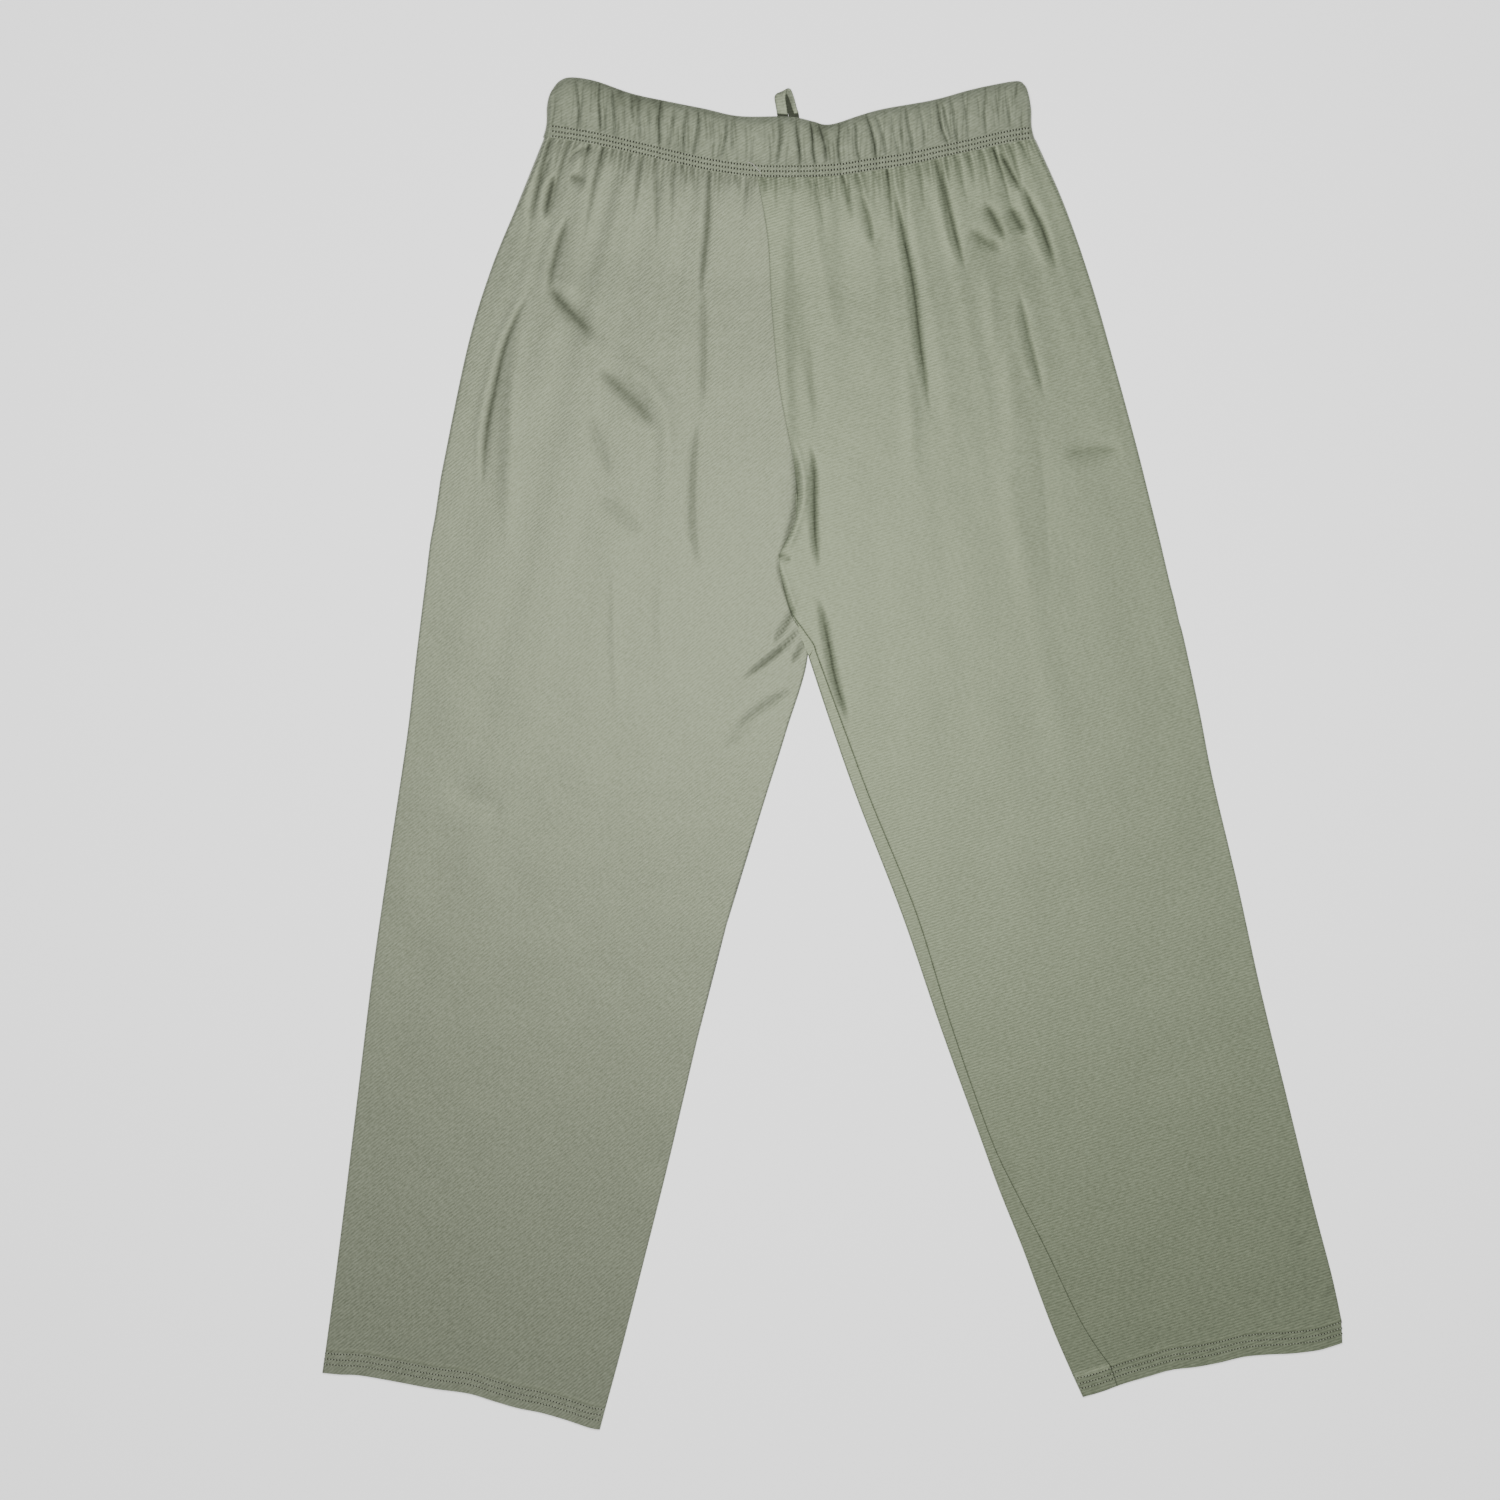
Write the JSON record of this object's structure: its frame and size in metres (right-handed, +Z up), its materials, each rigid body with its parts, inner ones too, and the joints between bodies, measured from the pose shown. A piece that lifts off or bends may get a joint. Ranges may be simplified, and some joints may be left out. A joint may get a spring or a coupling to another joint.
{
  "type": "pyjama trousers laid flat",
  "caption": "Wide straight-leg pyjama trousers laid flat, back upwards, with a gathered elastic waistband, plain hems and a drawstring loop.",
  "frame": {"origin": "middle of the garment's outline, on the surface it lies on", "axes": "+Y from the hems to the waist, +X to the right as seen from above with the waist away from the viewer, +Z up out of the surface; the garment's back faces up"},
  "size_m": [0.7768, 1.0284, 0.0087],
  "materials": {
    "leg_cloth": "soft satin twill, sage green",
    "waistband_cloth": "the same satin twill, gathered on elastic",
    "tape": "flat self-fabric tape"
  },
  "bodies": {
    "root": {"waistband": "waistband_cloth", "back_left_leg": "leg_cloth", "back_right_leg": "leg_cloth", "front_left_leg": "leg_cloth", "front_right_leg": "leg_cloth", "drawstring": "tape"}
  },
  "joints": []
}
